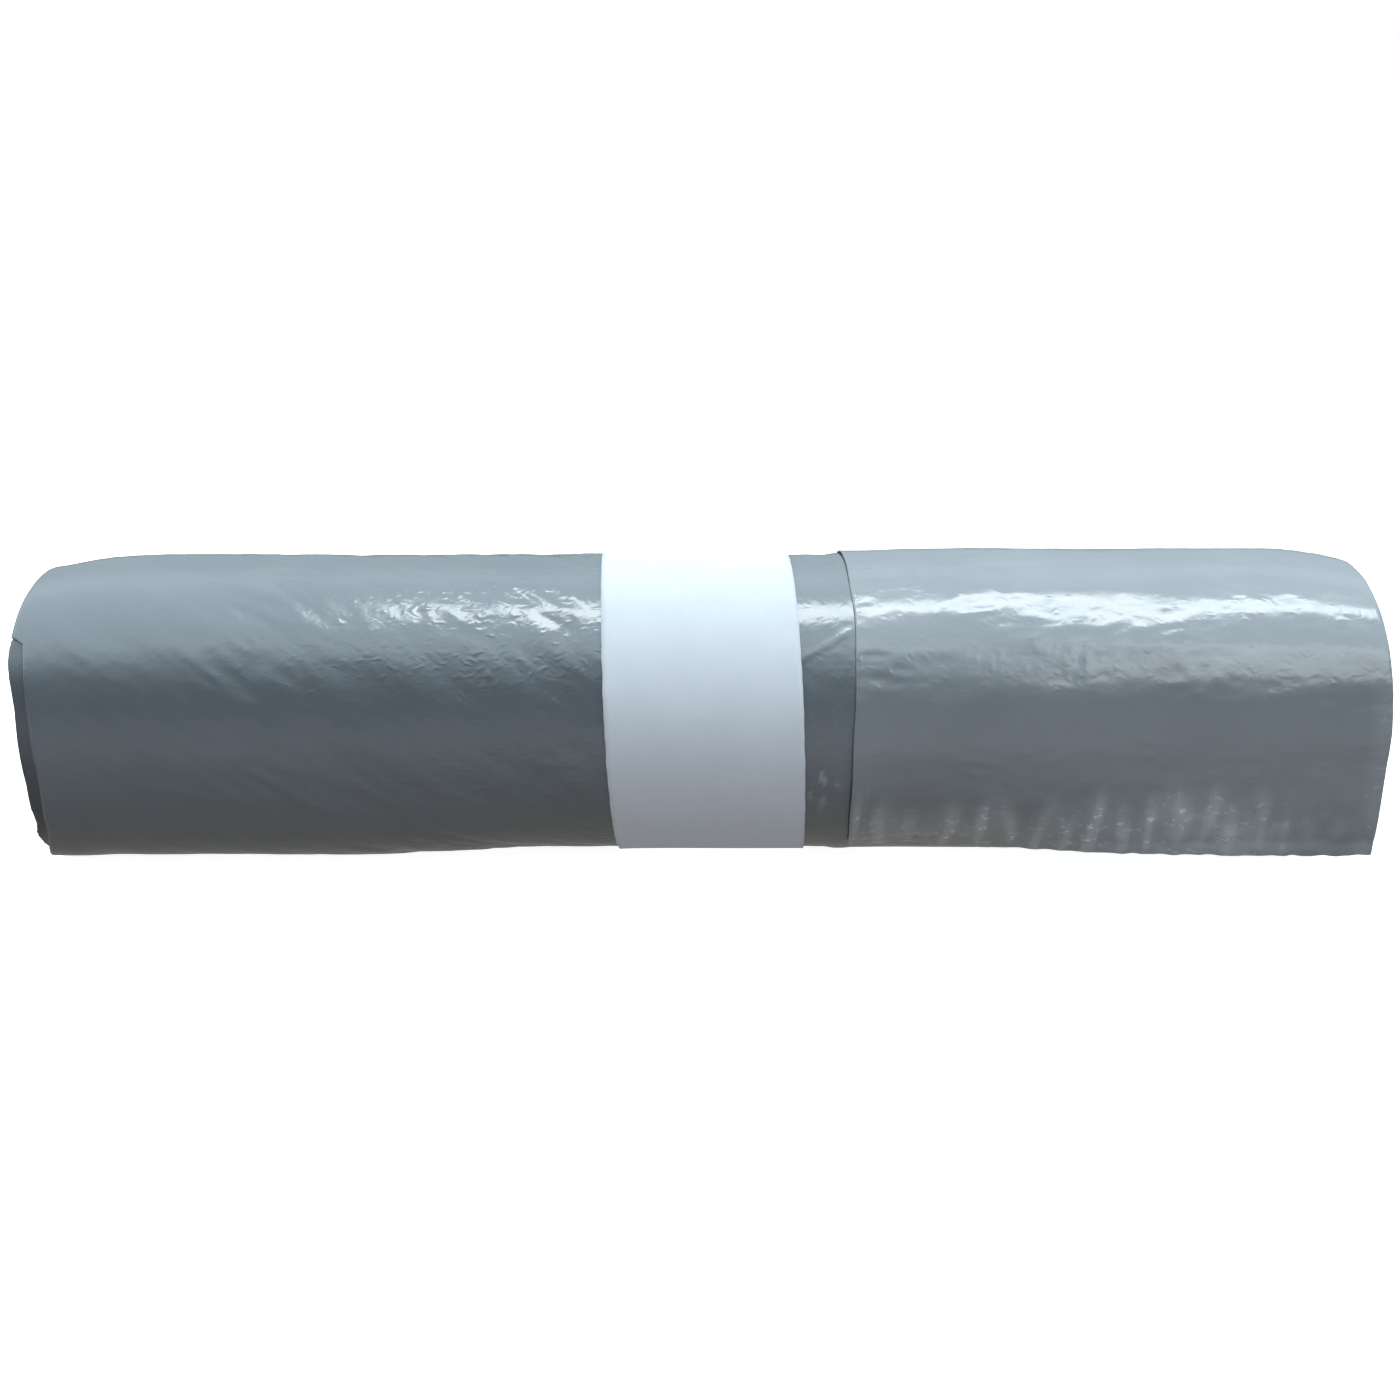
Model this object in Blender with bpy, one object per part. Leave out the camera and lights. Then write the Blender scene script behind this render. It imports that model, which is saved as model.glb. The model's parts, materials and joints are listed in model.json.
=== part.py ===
"""A coreless roll of refuse sacks: polythene sacks wound one over the other, held by a paper band.

X runs along the roll, -Y is its front and +Z is up. The origin is the middle of the underside,
where the roll lies on its flattened bottom. Section angles are measured from the front, upwards.
"""

import math

import bmesh
import bpy

# Sack and roll, in metres
SACK_COUNT = 25
ROLL_LEFT = -0.1760
ROLL_RIGHT = 0.1755
ROLL_RADIUS = 0.0410
CORE_HALF_WIDTH = 0.0090
CORE_HALF_HEIGHT = 0.0060
END_DISH = 0.0012  # how far the innermost sack's ends lie inside the outermost one's
GAP = 0.0003  # clearance between pieces that touch
SEGMENTS = 36
FLAT_HALF_ANGLE = math.radians(20)  # half of the arc that the roll's weight presses flat

# The outermost sack's folded-over right-hand panel, and the end of it that hangs loose
PANEL_LEFT = 0.0390
PANEL_STEP = 0.0008  # what the panel's turn adds to the roll's radius
LOOSE_THICKNESS = 0.0005
LOOSE_TOP_ANGLE = math.radians(85)
LOOSE_HUG_ANGLE = math.radians(-47)  # where its end lies at the left, on the roll
LOOSE_HANG_ANGLE = math.radians(-38.5)  # as much film again, but hanging straight down, at the right
LOOSE_HUG_RIGHT = 0.055  # it hugs the roll left of this, and hangs free right of the next
LOOSE_HANG_LEFT = 0.150
LOOSE_UPPER_SEGMENTS = 9
LOOSE_LOWER_SEGMENTS = 5

# Paper band
BAND_WIDTH = 0.0508
BAND_THICKNESS = 0.0003
BAND_MIDDLE = 0.0014  # where the strip's middle crosses the roll's front
BAND_PITCH = 0.0410  # sideways run of the strip for each metre wound
BAND_LAP_SEGMENTS = 2

# Heights of the flattened underside of each layer
BAND_INSIDE_FLOOR = BAND_THICKNESS
ROLL_FLOOR = BAND_INSIDE_FLOOR + GAP
PANEL_FLOOR = 0.0
AXIS_HEIGHT = ROLL_FLOOR + ROLL_RADIUS * math.cos(FLAT_HALF_ANGLE)

FILM_COLOR = (0.250, 0.285, 0.310, 1.0)
PAPER_COLOR = (0.860, 0.880, 0.900, 1.0)


def clear_objects():
    for obj in list(bpy.data.objects):
        bpy.data.objects.remove(obj, do_unlink=True)


def make_material(name, color, roughness):
    material = bpy.data.materials.new(name)
    material.use_nodes = True
    shader = material.node_tree.nodes["Principled BSDF"]
    shader.inputs["Base Color"].default_value = color
    shader.inputs["Roughness"].default_value = roughness
    shader.inputs["Metallic"].default_value = 0.0
    return material


def make_object(name, bm, material, origin=(0.0, 0.0, 0.0)):
    """Turns a bmesh in world metres into an object whose origin is at the given point."""
    bmesh.ops.recalc_face_normals(bm, faces=bm.faces)
    bmesh.ops.translate(bm, verts=bm.verts, vec=[-c for c in origin])
    mesh = bpy.data.meshes.new(name)
    bm.to_mesh(mesh)
    bm.free()
    mesh.shade_smooth()
    mesh.set_sharp_from_angle(angle=math.radians(35))
    mesh.materials.append(material)
    obj = bpy.data.objects.new(name, mesh)
    obj.location = origin
    bpy.context.scene.collection.objects.link(obj)
    return obj


def ring_angles():
    """Section angles once round, placed so that the flat's two edges fall on corners."""
    step = 2 * math.pi / SEGMENTS
    return [-math.pi / 2 + i * step for i in range(SEGMENTS)]


def round_point(radius, angle, floor):
    """Point (y, z) of the roll's section: a circle pressed flat at the given height."""
    y = -radius * math.cos(angle)
    z = AXIS_HEIGHT + radius * math.sin(angle)
    return y, max(z, floor)


def core_point(angle):
    y = -CORE_HALF_WIDTH * math.cos(angle)
    z = AXIS_HEIGHT + CORE_HALF_HEIGHT * math.sin(angle)
    return y, z


def layer_point(share, angle):
    """Point (y, z) on the boundary that lies this share of the way from the core to the outside."""
    outer = round_point(ROLL_RADIUS, angle, ROLL_FLOOR)
    core = core_point(angle)
    return tuple(c + (o - c) * share for c, o in zip(core, outer))


def layer_share(sack):
    """Share of the way out at which a sack's outer boundary lies: every sack has the same area."""
    core_radius = math.sqrt(CORE_HALF_WIDTH * CORE_HALF_HEIGHT)
    area = core_radius**2 + (ROLL_RADIUS**2 - core_radius**2) * sack / SACK_COUNT
    return (math.sqrt(area) - core_radius) / (ROLL_RADIUS - core_radius)


def add_ring(bm, x, points):
    return [bm.verts.new((x, y, z)) for y, z in points]


def close_tube(bm, rings):
    """Joins rings of corners one to the next, and the last to the first, into a ring-shaped solid."""
    for here, there in zip(rings, rings[1:] + rings[:1]):
        for i in range(len(here)):
            j = (i + 1) % len(here)
            bm.faces.new((here[i], here[j], there[j], there[i]))


def make_inner_sack(number, material):
    """A sack wound into a ring between its neighbours."""
    bore_share = layer_share(number - 1)
    skin_share = layer_share(number) - GAP / (ROLL_RADIUS - CORE_HALF_WIDTH)
    bore = [layer_point(bore_share, a) for a in ring_angles()]
    skin = [layer_point(skin_share, a) for a in ring_angles()]
    dish = END_DISH * (1 - number / SACK_COUNT)
    left = ROLL_LEFT + dish
    right = ROLL_RIGHT - dish
    bm = bmesh.new()
    rings = [
        add_ring(bm, left, skin),
        add_ring(bm, right, skin),
        add_ring(bm, right, bore),
        add_ring(bm, left, bore),
    ]
    close_tube(bm, rings)
    return make_object(f"sack_{number:02d}", bm, material)


def make_outer_sack(material):
    """The outermost sack, one layer fatter over its folded-over right-hand panel."""
    bore = [layer_point(layer_share(SACK_COUNT - 1), a) for a in ring_angles()]
    skin = [round_point(ROLL_RADIUS, a, ROLL_FLOOR) for a in ring_angles()]
    panel = [round_point(ROLL_RADIUS + PANEL_STEP, a, PANEL_FLOOR) for a in ring_angles()]
    bm = bmesh.new()
    rings = [
        add_ring(bm, ROLL_LEFT, skin),
        add_ring(bm, PANEL_LEFT, skin),
        add_ring(bm, PANEL_LEFT, panel),
        add_ring(bm, ROLL_RIGHT, panel),
        add_ring(bm, ROLL_RIGHT, bore),
        add_ring(bm, ROLL_LEFT, bore),
    ]
    close_tube(bm, rings)
    return make_object(f"sack_{SACK_COUNT:02d}", bm, material)


def close_strip(bm, sections):
    """Joins sections along a strip and caps both of its ends; a section runs there and back again."""
    for here, there in zip(sections, sections[1:]):
        for i in range(len(here)):
            j = (i + 1) % len(here)
            bm.faces.new((here[i], here[j], there[j], there[i]))
    for end in (sections[0], sections[-1]):
        last = len(end) - 1
        for i in range(len(end) // 2 - 1):
            bm.faces.new((end[i], end[i + 1], end[last - i - 1], end[last - i]))


def strip_section(bm, left, right, inside, outside):
    corners = [(left, inside), (right, inside), (right, outside), (left, outside)]
    return [bm.verts.new((x, y, z)) for x, (y, z) in corners]


def loose_rows():
    """Rows down the loose panel: 1 at its hinge, 0 at the roll's widest point and -1 at its end."""
    upper = [1 - i / LOOSE_UPPER_SEGMENTS for i in range(LOOSE_UPPER_SEGMENTS)]
    lower = [-i / LOOSE_LOWER_SEGMENTS for i in range(LOOSE_LOWER_SEGMENTS + 1)]
    return upper + lower


def loose_point(radius, row, hang):
    """Point (y, z) of the loose panel: below the widest point it hugs the roll (0) or hangs down (1)."""
    if row >= 0:
        return round_point(radius, row * LOOSE_TOP_ANGLE, PANEL_FLOOR)
    angle = -row * (LOOSE_HUG_ANGLE + (LOOSE_HANG_ANGLE - LOOSE_HUG_ANGLE) * hang)
    hug_y, hug_z = round_point(radius, angle, PANEL_FLOOR)
    hang_y = -radius
    hang_z = AXIS_HEIGHT + radius * angle
    return hug_y + (hang_y - hug_y) * hang, hug_z + (hang_z - hug_z) * hang


def make_loose_panel(material):
    """The loose end of the outermost sack's right-hand panel, hinged along its top edge."""
    inside_radius = ROLL_RADIUS + PANEL_STEP + GAP
    outside_radius = inside_radius + LOOSE_THICKNESS
    stations = [(PANEL_LEFT, 0.0), (LOOSE_HUG_RIGHT, 0.0), (LOOSE_HANG_LEFT, 1.0), (ROLL_RIGHT, 1.0)]
    bm = bmesh.new()
    sections = []
    for row in loose_rows():
        inside = [(x, *loose_point(inside_radius, row, hang)) for x, hang in stations]
        outside = [(x, *loose_point(outside_radius, row, hang)) for x, hang in stations]
        sections.append([bm.verts.new(corner) for corner in inside + outside[::-1]])
    close_strip(bm, sections)
    bmesh.ops.triangulate(bm, faces=bm.faces)
    hinge_radius = (inside_radius + outside_radius) / 2
    hinge_y, hinge_z = round_point(hinge_radius, LOOSE_TOP_ANGLE, PANEL_FLOOR)
    name = f"sack_{SACK_COUNT:02d}_loose_panel"
    return make_object(name, bm, material, (0.0, hinge_y, hinge_z))


def make_paper_band(material):
    """A straight paper strip wound once round the roll at a slight slant, its ends lapped at the back."""
    inside_radius = ROLL_RADIUS + GAP
    lap_rise = BAND_THICKNESS + GAP
    step = 2 * math.pi / SEGMENTS
    bm = bmesh.new()
    sections = []
    for i in range(SEGMENTS + BAND_LAP_SEGMENTS + 1):
        angle = -math.pi + i * step
        rise = lap_rise * min(1.0, max(0.0, (i - SEGMENTS + 2) / 2))
        radius = inside_radius + rise
        middle = BAND_MIDDLE - BAND_PITCH * ROLL_RADIUS * angle
        inside = round_point(radius, angle, BAND_INSIDE_FLOOR)
        outside = round_point(radius + BAND_THICKNESS, angle, BAND_INSIDE_FLOOR - BAND_THICKNESS)
        left = middle - BAND_WIDTH / 2
        right = middle + BAND_WIDTH / 2
        sections.append(strip_section(bm, left, right, inside, outside))
    close_strip(bm, sections)
    return make_object("paper_band", bm, material, (0.0, 0.0, AXIS_HEIGHT))


def main():
    clear_objects()
    for number in range(1, SACK_COUNT):
        make_inner_sack(number, make_material(f"film_{number:02d}", FILM_COLOR, 0.30))
    make_outer_sack(make_material(f"film_{SACK_COUNT:02d}", FILM_COLOR, 0.30))
    make_loose_panel(make_material("film_loose_panel", FILM_COLOR, 0.30))
    make_paper_band(make_material("band_paper", PAPER_COLOR, 0.85))


main()
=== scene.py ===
import json
import math

import bmesh
import bpy
import numpy as np
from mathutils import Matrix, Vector


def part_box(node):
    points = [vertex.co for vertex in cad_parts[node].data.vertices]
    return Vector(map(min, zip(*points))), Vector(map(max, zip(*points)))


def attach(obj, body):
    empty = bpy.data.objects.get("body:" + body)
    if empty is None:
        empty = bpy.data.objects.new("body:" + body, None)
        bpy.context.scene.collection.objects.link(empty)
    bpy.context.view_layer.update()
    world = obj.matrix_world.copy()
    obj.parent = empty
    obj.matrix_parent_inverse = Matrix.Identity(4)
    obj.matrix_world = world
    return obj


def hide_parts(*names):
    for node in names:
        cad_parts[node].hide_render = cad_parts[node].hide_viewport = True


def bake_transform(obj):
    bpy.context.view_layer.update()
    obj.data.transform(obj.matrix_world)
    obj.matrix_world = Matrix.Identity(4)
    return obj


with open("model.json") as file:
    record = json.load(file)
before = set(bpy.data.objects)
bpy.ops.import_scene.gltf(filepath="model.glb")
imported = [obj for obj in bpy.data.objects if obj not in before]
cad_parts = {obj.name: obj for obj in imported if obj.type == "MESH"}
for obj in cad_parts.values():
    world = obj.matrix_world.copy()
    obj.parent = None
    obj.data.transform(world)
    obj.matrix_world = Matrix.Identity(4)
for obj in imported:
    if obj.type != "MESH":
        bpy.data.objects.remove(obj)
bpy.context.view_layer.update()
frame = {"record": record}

# A coreless roll of refuse sacks with a paper band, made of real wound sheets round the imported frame.
# The roll lies along X and its front is -Y. Angles go round its section: 0 at the front, 90 degrees on top,
# -90 on the floor. Lengths are in metres. On a sheet, x runs along the roll and s round it.

TURN = 2 * math.pi


def deg(value):
    """Degrees in radians."""
    return value * math.pi / 180


# ---------------------------------------------------------------- driving sizes

# From the frame.
ROLL_LOW, ROLL_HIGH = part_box("sack_25")
CORE_LOW, CORE_HIGH = frame["record"]["physics"]["openings"][0]["box_m"]
PANEL_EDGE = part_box("sack_25_loose_panel")[0][0]  # the left-hand edge of the folded-over panel
PANEL_STEP = 0.0008  # what the folded-over panel adds to the roll's radius in the frame
AXIS_HEIGHT = (CORE_LOW[2] + CORE_HIGH[2]) / 2
LEFT, RIGHT = ROLL_LOW[0], ROLL_HIGH[0]
RADIUS = (ROLL_HIGH[1] - ROLL_LOW[1]) / 2 - PANEL_STEP

# The sacks, and the open core that they are wound round.
SACK_COUNT = 25
SACK_LENGTH = 1.10
CORE_HALF_WIDTH = 0.0090
CORE_HALF_HEIGHT = 0.0060
CORE_MEAN_RADIUS = 0.0075
UNDER_OUTER_TURN = 0.0007  # how far a film keeps beneath the outermost turn
END_INSET = 0.0015  # how far inside the roll's ends the wound film's edges lie, before their scatter
END_SCATTER = 0.00028
HALF_FILL = 0.36  # half of a folded sack's thickness, as a share of the room from turn to turn
WOUND_SPACING, FEWEST_POINTS = 0.0042, 30  # between points round a turn, and the fewest in a turn
LAYER_STEP = 0.4  # sets the patterns of one sack apart from the next one's

# The roll's form: it slumps out left of the band, and both of its ends droop.
SAG_START, SAG_END = -0.034, -0.100
SAG_PLACES = (SAG_END, (SAG_START + SAG_END) / 2, SAG_START)
SAG_DEPTH = 0.0026
LEFT_SHOULDER, LEFT_DROOP = 0.030, 0.0032  # length along the roll, and depth at its end
RIGHT_SHOULDER, RIGHT_DROOP = 0.022, 0.0022
DROOP_POWER = 2.2
FLOOR_PRESS = 0.0006  # how softly the section turns into its flat underside

# The outermost turn's films.
FILM_SPACING = 0.0009  # between the points of a film that is seen
LEFT_FILM_WIDTH = 0.2135
LEFT_FILM_START, LEFT_FILM_SPAN = deg(-70), deg(384)
LEFT_OVERHANG = 0.0004  # how far it reaches past the roll's left-hand end
PANEL_LAP = 0.004  # the left film goes this far under the panel
LOOSE_END, LOOSE_END_RISE = deg(-47), deg(8.5)  # the rise is at the right-hand end
PANEL_TAIL = deg(250)
PANEL_SPAN = PANEL_TAIL - LOOSE_END
PANEL_RISE = 0.0007  # what the panel stands above the left film
PANEL_PUFF = 0.0011  # how far it is puffed up on top
HANG_START, HANG_END = 0.055, 0.150  # the loose end hugs the roll left of these and hangs free right of them
UNDER_SPACING = 0.0013  # between the points of the film beneath the panel
UNDER_START, UNDER_END = deg(-100), deg(275)
UNDER_LAP, UNDER_INSET = 0.006, 0.0012  # how far it goes under the left film, and stays inside the right end

# A film's edge curls under. Each step is a way in from the edge and a way down.
LEFT_FILM_CURL = ((0.0050, 0.00062), (0.0012, 0.00062), (0.0003, 0.00052), (0.0, 0.00031), (0.0003, 0.00010))
PANEL_EDGE_CURL = ((0.0050, 0.00044), (0.0010, 0.00044), (0.0002, 0.00036), (0.0, 0.00022), (0.0002, 0.00008))
PANEL_END_CURL = ((0.0, 0.00018), (-0.0004, 0.0006), (-0.0010, 0.0011), (-0.0030, 0.0016), (-0.0080, 0.0018))

# The camera looks down at the middle of the roll.
CAMERA_DISTANCE = 0.41
CAMERA_ELEVATION = math.radians(20)
CAMERA_LENS = 37.36


# ---------------------------------------------------------------- numbers for shapes


def ease(value, low, high):
    """0 below low, 1 above high, smooth between; low may be the larger one."""
    t = np.clip((value - low) / (high - low), 0, 1)
    return t * t * (3 - 2 * t)


def bump_at(value, middle, width):
    """A smooth hump of height 1 round the middle."""
    return np.exp(-(((value - middle) / width) ** 2))


def folded_angle(angle):
    """The angle brought between -pi and pi."""
    return (angle + math.pi) % TURN - math.pi


def noise(u, v, seed):
    """Gradient noise of two coordinates, one cell to a unit, about -0.7 to 0.7."""
    size = 128
    rng = np.random.default_rng(seed)
    turn = rng.uniform(0, TURN, (size, size))
    gx, gy = np.cos(turn), np.sin(turn)
    iu, iv = np.floor(u).astype(int), np.floor(v).astype(int)
    fu, fv = u - iu, v - iv
    su = fu**3 * (fu * (fu * 6 - 15) + 10)
    sv = fv**3 * (fv * (fv * 6 - 15) + 10)

    def corner(du, dv):
        a, b = (iu + du) % size, (iv + dv) % size
        return gx[a, b] * (fu - du) + gy[a, b] * (fv - dv)

    near = corner(0, 0) * (1 - su) + corner(1, 0) * su
    far = corner(0, 1) * (1 - su) + corner(1, 1) * su
    return near * (1 - sv) + far * sv


def line_noise(u, seed):
    """Gradient noise of one coordinate."""
    return noise(u, 0 * u, seed)


def creases(u, v, seed):
    """Crumpled film: flat facets that meet in sharp ridges, about 0 to 1."""
    warp_u = u + 0.6 * noise(u * 0.5, v * 0.5, seed + 1)
    warp_v = v + 0.6 * noise(u * 0.5 + 7, v * 0.5, seed + 2)
    first = 1 - np.abs(noise(warp_u, warp_v, seed)) * 2
    second = 1 - np.abs(noise(warp_u * 0.8 + warp_v * 0.7, warp_v * 0.8 - warp_u * 0.7, seed + 3)) * 2
    return (first + second) / 2


def cells(x, s, along, across, slant=0.0):
    """Sheet coordinates in cells of this size, turned so that the long side of a cell runs along a slant."""
    c, k = math.cos(slant), math.sin(slant)
    return (x * c + s * k) / along, (-x * k + s * c) / across


def waves(place, seed, height):
    """Soft waves in a pattern of cells."""
    return noise(*place, seed) * height


def facets(place, seed, height):
    """Crumpled facets in a pattern of cells, as far in as out."""
    return (creases(*place, seed) - 0.5) * height


def section_point(radius, angle, floor=0.0002):
    """Point (y, z) of the roll's section, pressed flat where it lies on the floor."""
    y = -radius * np.cos(angle)
    z = AXIS_HEIGHT + radius * np.sin(angle)
    pressed = np.logaddexp(0, (z - floor) / FLOOR_PRESS) * FLOOR_PRESS
    return y, floor + np.where(z < floor + 4 * FLOOR_PRESS, pressed, z - floor)


# ---------------------------------------------------------------- meshes


def grid_mesh(name, points, s, layer, tone_painted_light_and_shade, crumple, close_u=False):
    """A mesh of quads from a (rows, columns, 3) array, as a new object.

    Each point keeps its place on the flat sheet, from its x and s. The layer sets the patterns of one sheet
    apart from another's.
    """
    rows, columns = points.shape[:2]
    index = np.arange(rows * columns).reshape(rows, columns)
    if close_u:
        index = np.concatenate([index, index[:, :1]], axis=1)
    corners = [index[:-1, :-1], index[:-1, 1:], index[1:, 1:], index[1:, :-1]]
    quads = np.stack(corners, axis=-1).reshape(-1, 4)
    mesh = bpy.data.meshes.new(name)
    mesh.vertices.add(rows * columns)
    mesh.vertices.foreach_set("co", points.reshape(-1).astype(np.float32))
    mesh.loops.add(quads.size)
    mesh.loops.foreach_set("vertex_index", quads.reshape(-1).astype(np.int32))
    mesh.polygons.add(len(quads))
    mesh.polygons.foreach_set("loop_start", np.arange(0, quads.size, 4, dtype=np.int32))
    mesh.polygons.foreach_set("use_smooth", np.ones(len(quads), dtype=bool))
    layers = np.full((rows, columns), layer)
    sheet = np.stack([points[..., 0], np.broadcast_to(s, (rows, columns)), layers], axis=-1)
    attribute = mesh.attributes.new("sheet", "FLOAT_VECTOR", "POINT")
    attribute.data.foreach_set("vector", sheet.reshape(-1).astype(np.float32))
    # Each point carries its share of the second colour, painted shade inside the roll and painted highlights
    # and paler tone outside it, and how crumpled it is.
    for title, values in (("tone_painted_light_and_shade", tone_painted_light_and_shade), ("crumple", crumple)):
        attribute = mesh.attributes.new(title, "FLOAT", "POINT")
        everywhere = np.broadcast_to(values, (rows, columns))
        attribute.data.foreach_set("value", everywhere.reshape(-1).astype(np.float32))
    mesh.update(calc_edges=True)
    mesh.validate()
    obj = bpy.data.objects.new(name, mesh)
    bpy.context.scene.collection.objects.link(obj)
    return obj


def close_strip_ends(mesh, ring, rows):
    """Caps the two ends of a closed strip of this many rows, each a ring of this many points."""
    bm = bmesh.new()
    bm.from_mesh(mesh)
    bm.verts.ensure_lookup_table()
    for start in (0, (rows - 1) * ring):
        bm.faces.new([bm.verts[start + i] for i in range(ring)])
    bmesh.ops.recalc_face_normals(bm, faces=bm.faces)
    bm.to_mesh(mesh)
    bm.free()


def curled_edge(point, radius, angle, x, curl, overhang):
    """Columns of points for a film's edge that curls under, along the curl's steps."""
    columns = []
    for inwards, down in curl:
        y, z = point(radius - down, angle, x)
        columns.append(np.stack([x + inwards - overhang, y, z], axis=-1))
    return columns


def finish_film(obj, material, node=None):
    """Gives a film its material and has it ride on the roll; a film with a node stands for that node."""
    obj.data.materials.append(material)
    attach(obj, "roll")
    if node:
        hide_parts(node)


# ---------------------------------------------------------------- the film's form


def sag(x):
    """How far the film left of the band has slumped out, from none at the band to all near the end."""
    return SAG_DEPTH * ease(x, SAG_START, SAG_END)


def near_left(x):
    """1 at the roll's left-hand end, falling to 0 where the shoulder ends."""
    return np.clip((LEFT + LEFT_SHOULDER - x) / LEFT_SHOULDER, 0, 1)


def near_right(x):
    """1 at the roll's right-hand end, falling to 0 where the shoulder ends."""
    return np.clip((x - RIGHT + RIGHT_SHOULDER) / RIGHT_SHOULDER, 0, 1)


def shoulder(x, angle):
    """How far the roll's ends droop in, along their upper half."""
    high = bump_at(folded_angle(angle - deg(112)), 0, deg(42))
    left = near_left(x) ** DROOP_POWER * LEFT_DROOP
    right = near_right(x) ** DROOP_POWER * RIGHT_DROOP
    return (left + right) * high


def slump_at(angle):
    """1 where the roll bulges low at its front, a little less at its back, above the floor."""
    a = folded_angle(angle)
    front = bump_at(a, deg(-50), deg(30))
    back = bump_at(folded_angle(a - deg(230)), 0, deg(30))
    return front + 0.8 * back


def roll_radius(x, angle):
    """Radius of the smooth outer turn, before any creases."""
    return RADIUS + sag(x) * slump_at(angle) - shoulder(x, angle)


def panel_radius(x, angle):
    """Radius of the folded-over right-hand panel's outer turn: puffed up on top, less so at its two ends."""
    puff = PANEL_PUFF * bump_at(folded_angle(angle), deg(98), deg(42)) * (1 - 0.5 * near_right(x) ** 2)
    puff = puff * (0.45 + 0.55 * ease(x, PANEL_EDGE, PANEL_EDGE + 0.022))
    return RADIUS + PANEL_RISE + puff + 0.0004 * slump_at(angle) - shoulder(x, angle)


def left_creases(x, s):
    """Creases of the film left of the band, in metres outwards: slanted, in patches, calmer near the end."""
    calm = 0.24 + 0.76 * ease(x, -0.165, -0.095)
    patch = 0.40 + 0.60 * ease(noise(x / 0.05, s / 0.03, 41), -0.2, 0.3)
    broad = waves(cells(x, s, along=0.030, across=0.0085, slant=deg(-36)), seed=11, height=0.00038)
    middle = facets(cells(x, s, along=0.0170, across=0.0052, slant=deg(-34)), seed=21, height=0.00046)
    fine = facets(cells(x, s, along=0.0070, across=0.0034, slant=deg(-58)), seed=31, height=0.00015)
    long_wave = waves(cells(x, s, along=0.075, across=0.022), seed=51, height=0.00034)
    return (broad + long_wave) * (0.35 + 0.65 * calm) + (middle + fine) * patch * calm


def panel_creases(x, s):
    """Creases of the right-hand panel: smoother, with long low waves along the roll."""
    patch = 0.35 + 0.65 * ease(noise(x / 0.03, s / 0.02, 91), -0.15, 0.35)
    long_wave = waves(cells(x, s, along=0.045, across=0.0100), seed=61, height=0.00040)
    middle = facets(cells(x, s, along=0.014, across=0.0055), seed=71, height=0.00036)
    fine = facets(cells(x, s, along=0.0055, across=0.0030), seed=81, height=0.00016)
    return long_wave + (middle + fine) * patch


# ---------------------------------------------------------------- the wound sacks


def layer_share(sack):
    """How far out a sack's winding ends, 0 at the core and 1 outside: each sack fills the same area."""
    core_radius = math.sqrt(CORE_HALF_WIDTH * CORE_HALF_HEIGHT)
    area = core_radius**2 + (RADIUS**2 - core_radius**2) * sack / SACK_COUNT
    return (math.sqrt(area) - core_radius) / (RADIUS - core_radius)


def layer_place(share, angle, x):
    """Point (y, z) of a wound layer, this share of the way from the core to the outside."""
    outer_y, outer_z = section_point(roll_radius(x, angle) - UNDER_OUTER_TURN, angle, floor=0.0010)
    core_y = -CORE_HALF_WIDTH * np.cos(angle)
    core_z = AXIS_HEIGHT + CORE_HALF_HEIGHT * np.sin(angle)
    between = 4 * share * (1 - share)
    wander = noise(angle * 1.3 + 40, share * 5, 101) * 0.0007 * between
    wander = wander + noise(angle * 3.1 + 90, share * 9 + x * 3, 102) * 0.0002 * between
    swell = 1 + wander / RADIUS
    y = core_y + (outer_y - core_y) * share
    z = core_z + (outer_z - core_z) * share
    return y * swell, AXIS_HEIGHT + (z - AXIS_HEIGHT) * swell


def end_offset(angle, share, turn_number, seed):
    """How far a fold stands out of the roll's end, different from turn to turn."""
    most_turns = 400
    rng = np.random.default_rng(seed)
    steps = rng.normal(0, END_SCATTER, most_turns)
    own = np.interp(turn_number, np.arange(most_turns), steps)
    groups = noise(share * 26 + 0.3 * np.sin(angle), angle * 0.35, seed + 1) * 0.0015
    slow = noise(angle * 0.9 + 3, share * 4, seed + 2) * 0.0016
    return own + groups + slow


def cone_edge(angle, share):
    """The outermost turns' left-hand edges: over the front each one stands back from the one inside it."""
    a = folded_angle(angle)
    depth = (1 - share) * RADIUS
    below = ease(a, deg(50), deg(44))
    front = below * ease(a, deg(-38), deg(-22))
    proud = LEFT + 0.0003 - 0.0029 * ease(a, deg(12), deg(40))
    proud = proud - 0.0012 * ease(a, deg(-14), deg(-30)) * ease(a, deg(-150), deg(-90))
    return proud + 0.0060 * ease(depth, 0.0036, 0.0002) * front + 0.0024 * (1 - below)


def strip_profile(left, right, half):
    """Outline of a folded strip across its width, as (x, height, painted shade) with its outer face first."""
    tuck = 1.2 * half  # where the round of the fold begins
    near_end, further_in = 0.006, 0.040
    return [
        (left + tuck, half, 1),
        (left + near_end, half, 0),
        (left + further_in, half, 0),
        *[(x, half, 0) for x in SAG_PLACES],
        (right - further_in, half, 0),
        (right - near_end, half, 0),
        (right - tuck, half, 1),
        (right - 0.3 * tuck, 0.6 * half, 1),
        (right, 0.0, 1),
        (right - 0.3 * tuck, -0.6 * half, 1),
        (right - tuck, -half, 1),
        (right - further_in, -half, 1),
        *[(x, -half, 1) for x in SAG_PLACES[::-1]],
        (left + further_in, -half, 1),
        (left + tuck, -half, 1),
        (left + 0.3 * tuck, -0.6 * half, 1),
        (left, 0.0, 1),
        (left + 0.3 * tuck, 0.6 * half, 1),
    ]


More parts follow.
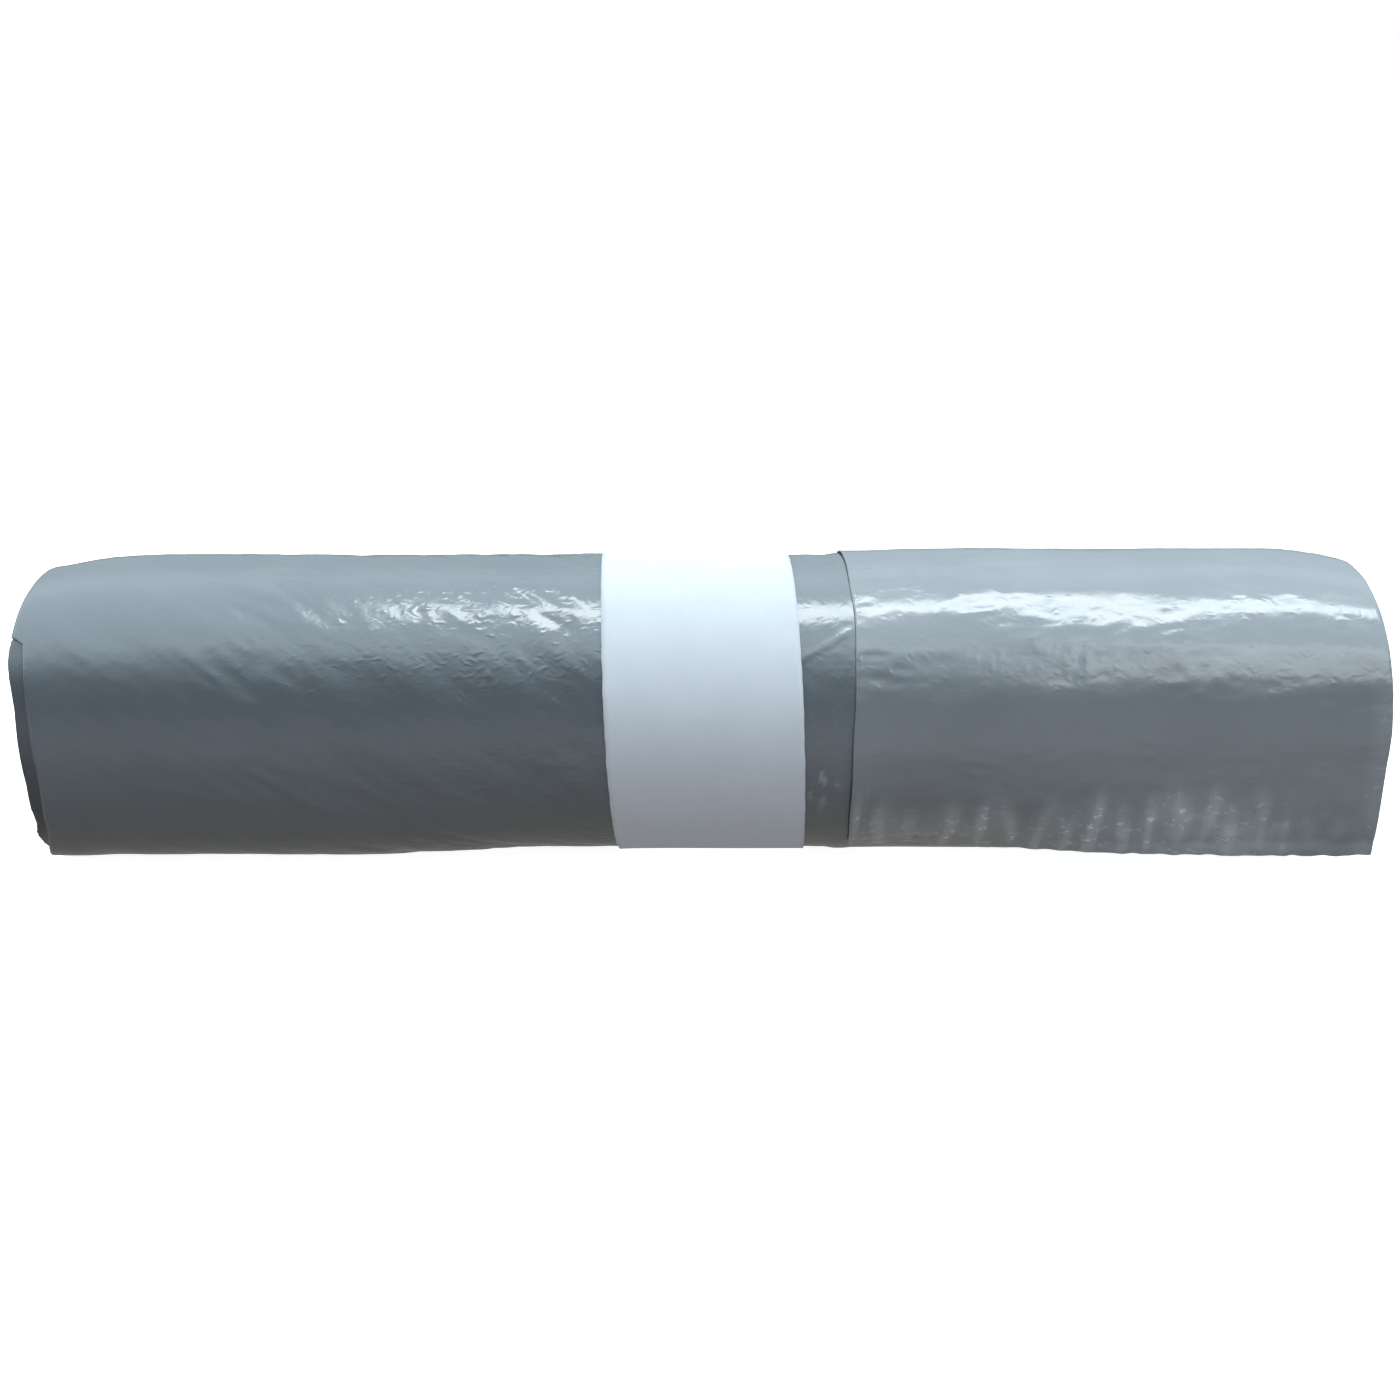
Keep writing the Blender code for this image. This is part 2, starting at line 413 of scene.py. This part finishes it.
def make_sack(number, first_angle, film):
    """A sack as it is wound, a folded strip in a spiral of its real length; returns the angle it ends at."""
    low, high = layer_share(number - 1), layer_share(number)
    mean_radius = 0.5 * (low + high) * RADIUS + 0.5 * (2 - low - high) * CORE_MEAN_RADIUS
    turns = SACK_LENGTH / (TURN * mean_radius)
    if number == SACK_COUNT:  # its last turn is the roll's outermost one, which is made of its own pieces
        turns -= 1
        high = low + (high - low) * turns / (turns + 1)
    rows = int(turns * max(FEWEST_POINTS, TURN * mean_radius / WOUND_SPACING))
    part = np.linspace(0, 1, rows)
    angle = first_angle + part * turns * TURN
    share = low + (high - low) * part
    turn_number = angle / TURN
    left = LEFT + END_INSET + end_offset(angle, share, turn_number, seed=111)
    right = RIGHT - END_INSET - end_offset(angle, share, turn_number, seed=121)
    left = left + (cone_edge(angle, share) - left) * ease(share, 0.70, 0.86) * 0.95
    profile = strip_profile(left, right, half=HALF_FILL * (high - low) * RADIUS / turns)
    profile_columns = []
    for x, height, _ in profile:
        x = np.broadcast_to(x, angle.shape)
        y, z = layer_place(share + height / RADIUS, angle, x)
        profile_columns.append(np.stack([x, y, z], axis=-1))
    points = np.stack(profile_columns, axis=1)
    # Painted shade: the ends and the inner face are painted darker, most of all in the outermost turns low on
    # the roll.
    in_shade = np.array([shade for _, _, shade in profile])[None, :]
    deepest = 0.35 + 0.65 * ease(folded_angle(angle), deg(20), deg(-30)) * ease(share, 0.80, 0.90)
    shades = in_shade * deepest[:, None]
    s = (part * SACK_LENGTH)[:, None]
    layer = number * LAYER_STEP
    obj = grid_mesh(f"sack_{number:02d}_wound_film", points, s, layer, shades, crumple=0.0, close_u=True)
    close_strip_ends(obj.data, len(profile), rows)
    finish_film(obj, film, f"sack_{number:02d}")
    return angle[-1] % TURN


# ---------------------------------------------------------------- the outermost turn


def lying_point(radius, angle, x):
    """Point (y, z) of a film that follows the roll wherever it is along it."""
    return section_point(radius, angle)


def hanging_point(radius, angle, x):
    """Point (y, z) of the loose panel: right of the band it leaves the roll at its widest and hangs down."""
    y, z = section_point(radius, angle)
    below = np.maximum(-angle, 0)
    drop_y = -radius - 0.0002 + 0.0005 * below
    drop_z = np.maximum(AXIS_HEIGHT - radius * below, 0.002)
    share = ease(x, HANG_START, HANG_END) * ease(below, 0, deg(8)) * 0.95
    return y + (drop_y - y) * share, z + (drop_z - z) * share


def left_film_edge(a):
    """Where the left film's end lies: drawn in over the front, so that the plies inside it show."""
    around = folded_angle(a)
    deepest, deepest_at = 0.0064, deg(-7)
    below = np.clip((deepest_at - around) / deg(48), 0, 1) ** 2 * 0.0077
    above = np.clip((around - deepest_at) / deg(43), 0, 1.2) ** 2 * 0.0027
    drawn_in = (deepest - below - above) * ease(around, deg(43), deg(40.5))
    drawn_in = drawn_in * ease(around, deg(-170), deg(-110))
    return LEFT - LEFT_OVERHANG + drawn_in + line_noise(a * 3, 131) * 0.0004


def left_film_radius(x, a, s):
    """Radius of the left film: creased, flat beneath the band and calmer in the strip right of it."""
    held = ease(np.abs(x), 0.018, 0.030)  # 0 beneath the band, which grips the film
    beside = 0.2 * bump_at(np.abs(x), 0.033, 0.008)  # creases stand up next to the band
    strip = ease(x, 0.018, 0.026)
    rough = left_creases(x, s) * np.minimum(held + 0.05, 1) * (1 + beside) * (1 - 0.72 * strip)
    rough = rough * (0.3 + 0.7 * ease(x, PANEL_EDGE + 0.001, PANEL_EDGE - 0.006))
    depth = 0.00042 * (a - LEFT_FILM_START) / TURN + 0.00008 * strip
    radius = roll_radius(x, a) + 0.0001 - depth + rough
    # It rises where it goes under the panel's edge.
    radius = radius + 0.0005 * ease(x, 0.034, 0.038) * ease(x, 0.045, 0.039)
    # It stands out a little low on the front of the left-hand end.
    low_front = bump_at(folded_angle(a), deg(-22), deg(38))
    radius = radius + 0.0007 * ease(x, LEFT + 0.016, LEFT + 0.005) * low_front
    # A thin fold runs slantwise over the strip.
    fold_x, fold_s, fold_slope, fold_width = 0.0255, 0.0247, 0.577, 0.0009
    across = s - (fold_s + fold_slope * (x - fold_x))
    radius = radius + 0.00026 * bump_at(across, 0, fold_width) * ease(x, 0.022, 0.027) * ease(x, 0.041, 0.037)
    # Its end under the roll is pressed in.
    return radius - 0.00018 * (1 - ease(a, LEFT_FILM_START, LEFT_FILM_START + deg(2)))


def make_left_panel(film):
    """The outermost turn left of the panel's edge; its outer end is tucked under the roll."""
    a = LEFT_FILM_START + np.arange(0, LEFT_FILM_SPAN, FILM_SPACING / RADIUS)[:, None]
    t = np.linspace(0, 1, int(LEFT_FILM_WIDTH / FILM_SPACING))[None, :]
    edge = left_film_edge(a)
    x = edge + (PANEL_EDGE + PANEL_LAP - edge) * t
    s = a * RADIUS
    radius = left_film_radius(x, a, s + 0 * x)
    y, z = lying_point(radius, a, x)
    top = np.stack([x, y, z], axis=-1)
    curl = curled_edge(lying_point, radius[:, :1], a, edge, LEFT_FILM_CURL, overhang=0.0004)
    points = np.concatenate([*curl, top], axis=1)
    x_all = points[..., 0]
    # Painted highlights: white flecks low on the strip right of the band; the strip is also painted a little
    # paler all over, as painted light against the shade there.
    painted_glints = ease(noise(x_all / 0.0030, s / 0.006, 165), 0.10, 0.40)
    painted_glints = painted_glints * bump_at(folded_angle(a), deg(-12), deg(11)) * bump_at(x_all, 0.031, 0.004)
    tone_painted_light_and_shade = np.maximum(painted_glints, 0.08 * ease(x_all, 0.020, 0.026))
    crumple = (0.14 + 0.86 * ease(x_all, -0.135, -0.055)) * (1 - 0.5 * ease(x_all, 0, 0.02))
    obj = grid_mesh("sack_25_left_panel_film", points, s, 0.0, tone_painted_light_and_shade, crumple)
    finish_film(obj, film)


def pucker_ribs(x, s):
    """Ribs across the panel's loose end, where the heat seal has shrunk the film, about -1 to 1."""
    spacing = 0.0072
    even = np.sin(TURN * x / spacing + 4 * noise(x / 0.018, s / 0.050, 166))
    return 0.22 * even + 0.7 * noise(x / 0.0042, s / 0.024, 161)


def right_panel_radius(x, a, s, from_end, rib):
    """Radius of the panel: creased, puckered at its loose end, its left-hand edge lifted off the roll."""
    depth = 0.0004 * (a - LOOSE_END) / TURN
    pucker_depth = 0.00080
    zone = ease(from_end, 0.022, 0.005) * (0.4 + 0.6 * ease(from_end, 0, 0.003))
    ribs = 1.3 * rib + 0.7 * noise(x / 0.0030, s / 0.007, 162)
    pucker = ribs * pucker_depth * zone * ease(x, PANEL_EDGE, PANEL_EDGE + 0.006)
    pleats = noise(x / 0.0105, s / 0.10, 163) * 0.00028 * ease(from_end, 0.075, 0.015)
    seal = -0.00025 * bump_at(from_end, 0.0035, 0.0012)
    lift = 0.0015 * ease(x, PANEL_EDGE + 0.010, PANEL_EDGE) * bump_at(a, deg(-16), deg(32))
    crease = -0.00016 * bump_at(x, PANEL_EDGE + 0.0023, 0.0005) * ease(a, deg(20), deg(-10))
    return panel_radius(x, a) - depth + panel_creases(x, s) + pucker + pleats + seal + lift + crease


def right_panel_paler_paint(x, a, from_end, rib):
    """How much the panel is painted paler: on the ribs of its loose end, along its left-hand edge and at its
    end; white flecks on the ribs are painted glints.
    """
    reach = 0.021 + 0.010 * line_noise(x / 0.009, 164)
    ribs = 0.42 + 0.54 * ease(rib, -0.02, 0.34)
    ribs = ribs * ease(from_end, reach, reach - 0.013) * ease(x, RIGHT - 0.012, RIGHT - 0.040)
    rim = bump_at(x, PANEL_EDGE + 0.0019, 0.0012) * ease(a, deg(-10), deg(-26))
    end = 0.22 * ease(x, RIGHT - 0.007, RIGHT - 0.001) * ease(a, deg(40), deg(10))
    return np.maximum(ribs, 0.75 * rim) + end


def make_right_panel(film):
    """The folded-over right-hand panel: from its loose end up the front, over the top and down the back."""
    t = np.linspace(0, 1, int((RIGHT - PANEL_EDGE) / FILM_SPACING))[None, :]
    v = np.linspace(0, 1, int(PANEL_SPAN * RADIUS / FILM_SPACING))[:, None]
    x0 = PANEL_EDGE + (RIGHT - PANEL_EDGE) * t
    end_angle = LOOSE_END + LOOSE_END_RISE * ease(x0, 0.050, HANG_END)
    end_angle = end_angle + line_noise(x0 / 0.016, 141) * deg(0.2)
    a = end_angle + (PANEL_TAIL - end_angle) * v
    edge_wander = 0.0012 * bump_at(folded_angle(a), deg(40), deg(30))
    edge_wander = edge_wander + 0.0011 * bump_at(a, deg(-46), deg(22)) + line_noise(a * 2.5, 151) * 0.0005
    x = x0 + edge_wander * (1 - t)
    s = a * RADIUS
    from_end = (a - end_angle) * RADIUS
    rib = pucker_ribs(x, s)
    radius = right_panel_radius(x, a, s, from_end, rib)
    y, z = hanging_point(radius, a, x)
    top = np.stack([x, y, z], axis=-1)
    first, last = (radius[:, :1], a[:, :1], x[:, :1]), (radius[:, -1:], a[:, -1:], x[:, -1:])
    left_curl = curled_edge(hanging_point, *first, PANEL_EDGE_CURL, overhang=0.0003)
    right_curl = curled_edge(hanging_point, *last, PANEL_END_CURL, overhang=-0.0004)
    points = np.concatenate([*left_curl, top, *right_curl], axis=1)
    curls = ((0, 0), (len(left_curl), len(right_curl)))
    tone_painted_light_and_shade = np.pad(right_panel_paler_paint(x, a, from_end, rib), curls, mode="edge")
    crumple = 0.55 + 0.4 * tone_painted_light_and_shade
    obj = grid_mesh("sack_25_right_panel_film", points, np.pad(s, curls, mode="edge"), 3.0, tone_painted_light_and_shade, crumple)
    obj.data.materials.append(film)
    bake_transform(obj)
    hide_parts("sack_25_loose_panel")


def make_under_panel(film):
    """The turn beneath the loose panel: round from the bottom, up the front to the top and over."""
    columns = int((RIGHT - PANEL_EDGE + UNDER_LAP) / UNDER_SPACING)
    x = np.linspace(PANEL_EDGE - UNDER_LAP, RIGHT - UNDER_INSET, columns)[None, :]
    a = np.arange(UNDER_START, UNDER_END, UNDER_SPACING / RADIUS)[:, None]
    s = a * RADIUS + 0 * x
    rough = panel_creases(x + 0.3, s + 0.2) * 0.8  # the panel's kind of creases, from another place
    flatter = 0.0010 * bump_at(folded_angle(a), deg(98), deg(50))
    radius = panel_radius(x, a) - UNDER_OUTER_TURN - flatter + rough
    # It dips beneath the left film.
    radius = radius - 0.0016 * ease(x, PANEL_EDGE + 0.003, PANEL_EDGE - 0.004)
    y, z = section_point(radius, a, floor=0.0005)
    points = np.stack([x + 0 * y, y, z], axis=-1)
    obj = grid_mesh("sack_25_under_film", points, s, 6.0, tone_painted_light_and_shade=0.1, crumple=0.4)
    finish_film(obj, film)


# ---------------------------------------------------------------- the paper band


def make_band(paper):
    """One straight strip of paper wound once round at a slight slant, its ends lapped at the back."""
    width = 0.0508
    thickness = 0.00022
    clearance = 0.00042  # between the roll's radius and the strip
    lap = 0.014
    middle_x = 0.0014
    slant = 0.0410  # how far the strip goes to the left for each metre round
    rows = 420
    columns = 36
    a = np.linspace(-math.pi, math.pi + lap / RADIUS, rows)[:, None]
    t = np.linspace(-0.5, 0.5, columns)[None, :]
    side = np.sign(t)
    edge_wave = noise(a * 9, side * 5 + 0 * a, 171) * 0.00022
    edge_wave = edge_wave + noise(a * 30, side * 9 + 0 * a, 172) * 0.00008
    x = middle_x - slant * RADIUS * a + width * t + edge_wave * np.abs(2 * t) ** 6
    over_lap = 0.0004 * ease(a, math.pi - 0.10, math.pi - 0.02)
    tent = noise(x / 0.022, a * RADIUS / 0.012, 181) * 0.00010
    in_places = 0.3 + 0.7 * ease(noise(a * 2.2, 0 * a + 3, 182), -0.1, 0.3)
    lip = (0.00032 - 0.0002 * side) * np.abs(2 * t) ** 8 * in_places
    radius = RADIUS + clearance + over_lap + tent + lip
    y, z = section_point(radius + thickness, a, floor=0.0)
    y_in, z_in = section_point(radius, a, floor=thickness)
    outer = np.stack([x, y, z], axis=-1)
    inner = np.stack([x, y_in, z_in], axis=-1)
    points = np.concatenate([outer, inner[:, ::-1]], axis=1)
    obj = grid_mesh("paper_band_strip", points, a * RADIUS, 9.0, tone_painted_light_and_shade=0.0, crumple=0.0, close_u=True)
    close_strip_ends(obj.data, points.shape[1], rows)
    obj.data.materials.append(paper)
    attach(obj, "band")
    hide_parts("paper_band")


# ---------------------------------------------------------------- material nodes


def new_material(name):
    """A new material with its nodes, links and shader."""
    material = bpy.data.materials.new(name)
    material.use_nodes = True
    nodes = material.node_tree.nodes
    return material, nodes, material.node_tree.links, nodes["Principled BSDF"]


def attribute_node(nodes, name):
    """A value that each point of the mesh carries."""
    node = nodes.new("ShaderNodeAttribute")
    node.attribute_name = name
    return node.outputs["Fac"]


def sheet_coordinates(nodes, links, scale):
    """The point's place on the flat sheet, scaled to the pattern's size."""
    place = nodes.new("ShaderNodeAttribute")
    place.attribute_name = "sheet"
    mapping = nodes.new("ShaderNodeMapping")
    mapping.inputs["Scale"].default_value = scale
    links.new(place.outputs["Vector"], mapping.inputs["Vector"])
    return mapping.outputs["Vector"]


def noise_node(nodes, links, vector, scale, detail, roughness=0.5):
    """Cloudy noise from 0 to 1."""
    node = nodes.new("ShaderNodeTexNoise")
    node.inputs["Scale"].default_value = scale
    node.inputs["Detail"].default_value = detail
    node.inputs["Roughness"].default_value = roughness
    links.new(vector, node.inputs["Vector"])
    return node.outputs["Fac"]


def ridges_node(nodes, links, vector, scale):
    """Sharp ridges like the creases of crumpled film, 0 between them and 1 on them."""
    node = nodes.new("ShaderNodeTexNoise")
    node.noise_type = "RIDGED_MULTIFRACTAL"
    node.inputs["Scale"].default_value = scale
    node.inputs["Detail"].default_value = 2.0
    node.inputs["Roughness"].default_value = 0.5
    node.inputs["Distortion"].default_value = 0.4
    links.new(vector, node.inputs["Vector"])
    return node.outputs["Fac"]


def ramp_node(nodes, links, fac, stops):
    """Colours at places from 0 to 1, blended between."""
    node = nodes.new("ShaderNodeValToRGB")
    ramp = node.color_ramp
    ramp.elements[0].position, ramp.elements[0].color = stops[0][0], (*stops[0][1], 1)
    ramp.elements[1].position, ramp.elements[1].color = stops[-1][0], (*stops[-1][1], 1)
    for position, color in stops[1:-1]:
        ramp.elements.new(position).color = (*color, 1)
    links.new(fac, node.inputs["Fac"])
    return node.outputs["Color"]


def range_node(nodes, links, value, low, high):
    """A value from 0 to 1, brought between low and high."""
    node = nodes.new("ShaderNodeMapRange")
    node.inputs["To Min"].default_value = low
    node.inputs["To Max"].default_value = high
    links.new(value, node.inputs["Value"])
    return node.outputs["Result"]


def bump_node(nodes, links, height, distance, strength, previous=None):
    """A fine relief too small for the mesh, over an earlier one if there is one."""
    node = nodes.new("ShaderNodeBump")
    node.inputs["Distance"].default_value = distance
    node.inputs["Strength"].default_value = strength
    links.new(height, node.inputs["Height"])
    if previous is not None:
        links.new(previous, node.inputs["Normal"])
    return node.outputs["Normal"]


def math_node(nodes, links, operation, first, second):
    """Arithmetic on two values, each a number or another node's output."""
    node = nodes.new("ShaderNodeMath")
    node.operation = operation
    for socket, value in zip(node.inputs, (first, second)):
        if isinstance(value, float):
            socket.default_value = value
        else:
            links.new(value, socket)
    return node.outputs[0]


def mix_color(nodes, links, factor, under, over):
    """The colour under, changed towards a fixed colour by a pattern from 0 to 1."""
    node = nodes.new("ShaderNodeMix")
    node.data_type = "RGBA"
    colors = [socket for socket in node.inputs if socket.type == "RGBA"]
    colors[1].default_value = (*over, 1)
    links.new(factor, node.inputs["Factor"])
    links.new(under, colors[0])
    return [socket for socket in node.outputs if socket.type == "RGBA"][0]


# ---------------------------------------------------------------- materials


def film_material(name, dark, light, light_shade_color, crinkle, ior, with_painted_glints=True):
    """Glossy grey polythene: cloudy where plies part, crinkled, and mixed towards a second colour: painted
    shade inside the roll, painted highlights and paler marks outside it.
    """
    material, nodes, links, shader = new_material(name)
    place = sheet_coordinates(nodes, links, (1, 1, 1))
    light_shade_amount = attribute_node(nodes, "tone_painted_light_and_shade")
    clouds = noise_node(nodes, links, place, scale=38, detail=5, roughness=0.6)
    color = ramp_node(nodes, links, clouds, [(0.25, dark), (0.75, light)])
    color = mix_color(nodes, links, light_shade_amount, color, light_shade_color)
    # Painted glints: white flecks where the second colour is strongest.
    if with_painted_glints:
        long_place = sheet_coordinates(nodes, links, (1.0, 1.5, 1.0))
        painted_glints = noise_node(nodes, links, long_place, scale=330, detail=2, roughness=0.6)
        painted_glints = ramp_node(nodes, links, painted_glints, [(0.58, (0, 0, 0)), (0.67, (1, 1, 1))])
        painted_glints = math_node(nodes, links, "MULTIPLY", painted_glints, math_node(nodes, links, "POWER", light_shade_amount, 1.5))
        white = (0.78, 0.81, 0.82)
        color = mix_color(nodes, links, painted_glints, color, white)
    links.new(color, shader.inputs["Base Color"])
    haze = noise_node(nodes, links, place, scale=160, detail=3)
    links.new(range_node(nodes, links, haze, low=0.12, high=0.24), shader.inputs["Roughness"])
    ridges = ridges_node(nodes, links, sheet_coordinates(nodes, links, (1.0, 1.3, 1.0)), scale=360)
    height = math_node(nodes, links, "MULTIPLY", ridges, attribute_node(nodes, "crumple"))
    normal = bump_node(nodes, links, height, distance=0.00022, strength=crinkle)
    soft = noise_node(nodes, links, place, scale=330, detail=3, roughness=0.5)
    normal = bump_node(nodes, links, soft, distance=0.00008, strength=crinkle, previous=normal)
    links.new(normal, shader.inputs["Normal"])
    shader.inputs["IOR"].default_value = ior
    shader.inputs["Specular IOR Level"].default_value = 1.0
    return material


def sack_film():
    """The grey film of the outermost turn, left of the panel."""
    # Its pale colour is painted light: highlights low on the strip right of the band, and a paler strip
    # there.
    dark, light, pale_color = (0.072, 0.086, 0.096), (0.092, 0.107, 0.117), (0.34, 0.365, 0.375)
    return film_material("grey_sack_film", dark, light, pale_color, crinkle=0.7, ior=1.82)


def panel_film():
    """The folded-over panel and the turn beneath it: paler, as plies that lie loosely on each other are."""
    # Its pale colour paints the ribs, the left-hand edge and the end of the panel paler, under painted white
    # glints.
    dark, light, pale_color = (0.168, 0.181, 0.188), (0.208, 0.221, 0.227), (0.44, 0.45, 0.45)
    return film_material("grey_panel_film", dark, light, pale_color, crinkle=0.5, ior=1.82)


def wound_film():
    """The film inside the roll; its second colour is painted shade, deep between the turns and at the ends.
    """
    dark, light, shaded = (0.092, 0.108, 0.119), (0.122, 0.140, 0.152), (0.026, 0.028, 0.031)
    return film_material("grey_wound_film", dark, light, shaded, crinkle=0.2, ior=1.60, with_painted_glints=False)


def paper_material():
    """Matt white uncoated paper: fibres, faint mottling and a little tooth."""
    material, nodes, links, shader = new_material("white_band_paper")
    dark, light = (0.74, 0.75, 0.765), (0.80, 0.81, 0.825)
    place = sheet_coordinates(nodes, links, (1, 1, 1))
    mottle = noise_node(nodes, links, place, scale=90, detail=6, roughness=0.65)
    links.new(ramp_node(nodes, links, mottle, [(0.2, dark), (0.8, light)]), shader.inputs["Base Color"])
    long_place = sheet_coordinates(nodes, links, (1.0, 3.5, 1.0))
    fibres = noise_node(nodes, links, long_place, scale=900, detail=5, roughness=0.7)
    links.new(range_node(nodes, links, fibres, low=0.78, high=0.95), shader.inputs["Roughness"])
    links.new(bump_node(nodes, links, fibres, distance=0.00006, strength=0.5), shader.inputs["Normal"])
    shader.inputs["Specular IOR Level"].default_value = 0.25
    return material


# ---------------------------------------------------------------- stage, light and camera

# The studio's light by its direction: degrees up from the front, over the top (90) to the back (180),
# and down from the front (-90 is straight down). It is brightest above and behind, and dim in front.
STUDIO_LIGHT = (
    (-180, (0.34, 0.36, 0.38)),
    (-130, (0.29, 0.28, 0.26)),
    (-90, (0.27, 0.26, 0.24)),
    (-60, (0.27, 0.275, 0.28)),
    (-35, (0.31, 0.33, 0.36)),
    (-14, (0.38, 0.41, 0.45)),
    (3, (0.33, 0.36, 0.40)),
    (15, (0.22, 0.25, 0.29)),
    (32, (0.25, 0.29, 0.34)),
    (46, (0.52, 0.62, 0.71)),
    (62, (1.14, 1.37, 1.55)),
    (92, (1.30, 1.56, 1.75)),
    (125, (1.50, 1.80, 2.02)),
    (150, (0.96, 1.17, 1.29)),
    (180, (0.54, 0.66, 0.72)),
)


def make_camera():
    """The camera at the photograph's angle, square to the roll."""
    data = bpy.data.cameras.new("camera")
    data.lens = CAMERA_LENS
    data.sensor_width = 36
    data.clip_start = 0.01
    camera = bpy.data.objects.new("camera", data)
    bpy.context.scene.collection.objects.link(camera)
    target = Vector((0, 0, AXIS_HEIGHT))
    away = Vector((0, -math.cos(CAMERA_ELEVATION), math.sin(CAMERA_ELEVATION)))
    camera.location = target + away * CAMERA_DISTANCE
    camera.rotation_euler = (-away).to_track_quat("-Z", "Y").to_euler()
    bpy.context.scene.camera = camera


def make_floor():
    """A plain floor, so bright that it shows as white; it isn't mirrored in the film."""
    size, drop = 6.0, 0.0001
    corners = [(-size, -size, 0), (size, -size, 0), (size, size, 0), (-size, size, 0)]
    mesh = bpy.data.meshes.new("floor")
    mesh.from_pydata(corners, [], [(0, 1, 2, 3)])
    floor = bpy.data.objects.new("floor", mesh)
    floor.location.z = -drop
    bpy.context.scene.collection.objects.link(floor)
    material, _, _, shader = new_material("pale_floor")
    shader.inputs["Base Color"].default_value = (0.92, 0.92, 0.92, 1)
    shader.inputs["Roughness"].default_value = 0.9
    shader.inputs["Emission Color"].default_value = (1, 1, 1, 1)
    shader.inputs["Emission Strength"].default_value = 0.90
    mesh.materials.append(material)
    floor.visible_glossy = False
    floor.visible_diffuse = False


def make_world():
    """The studio's light all round, and plain white behind everything that the camera sees."""
    world = bpy.data.worlds.new("studio")
    bpy.context.scene.world = world
    world.use_nodes = True
    nodes, links = world.node_tree.nodes, world.node_tree.links
    direction = nodes.new("ShaderNodeTexCoord")
    split = nodes.new("ShaderNodeSeparateXYZ")
    links.new(direction.outputs["Generated"], split.inputs["Vector"])
    forwards = math_node(nodes, links, "MULTIPLY", split.outputs["Y"], -1.0)
    height = math_node(nodes, links, "ARCTAN2", split.outputs["Z"], forwards)
    turn = nodes.new("ShaderNodeMapRange")
    turn.inputs["From Min"].default_value = -math.pi
    turn.inputs["From Max"].default_value = math.pi
    links.new(height, turn.inputs["Value"])
    stops = [((degrees + 180) / 360, color) for degrees, color in STUDIO_LIGHT]
    background = nodes["Background"]
    links.new(ramp_node(nodes, links, turn.outputs["Result"], stops), background.inputs["Color"])
    background.inputs["Strength"].default_value = 1.0
    white = nodes.new("ShaderNodeBackground")
    white.inputs["Color"].default_value = (1, 1, 1, 1)
    path = nodes.new("ShaderNodeLightPath")
    mix = nodes.new("ShaderNodeMixShader")
    links.new(path.outputs["Is Camera Ray"], mix.inputs["Fac"])
    links.new(background.outputs[0], mix.inputs[1])
    links.new(white.outputs[0], mix.inputs[2])
    links.new(mix.outputs[0], nodes["World Output"].inputs["Surface"])


def area_light(name, location, tilt, size, power, color):
    """A rectangular light over the roll, its long side along the roll, tilted round that side."""
    data = bpy.data.lights.new(name, "AREA")
    data.shape = "RECTANGLE"
    data.size, data.size_y = size
    data.energy = power
    data.color = color
    light = bpy.data.objects.new(name, data)
    light.location = location
    light.rotation_euler = (tilt, 0, 0)
    bpy.context.scene.collection.objects.link(light)


def make_lights():
    """The softbox whose reflection is the long glint on the film, and a window in front on the right."""
    area_light(
        "overhead_softbox",
        location=(0.235, 0.00, 1.04),
        tilt=0.0,
        size=(0.99, 0.25),
        power=2.7,
        color=(0.90, 0.97, 1.0),
    )
    area_light(
        "window",
        location=(0.74, -0.74, 0.90),
        tilt=math.radians(42),
        size=(0.80, 0.40),
        power=0.9,
        color=(0.92, 0.98, 1.0),
    )


def main():
    make_camera()
    film, panel, wound, paper = sack_film(), panel_film(), wound_film(), paper_material()
    angle = 0.0
    for number in range(1, SACK_COUNT + 1):
        angle = make_sack(number, angle, wound)
    make_left_panel(film)
    make_under_panel(panel)
    make_right_panel(panel)
    make_band(paper)
    make_floor()
    make_world()
    make_lights()
    bpy.context.scene.view_settings.view_transform = "Standard"


main()
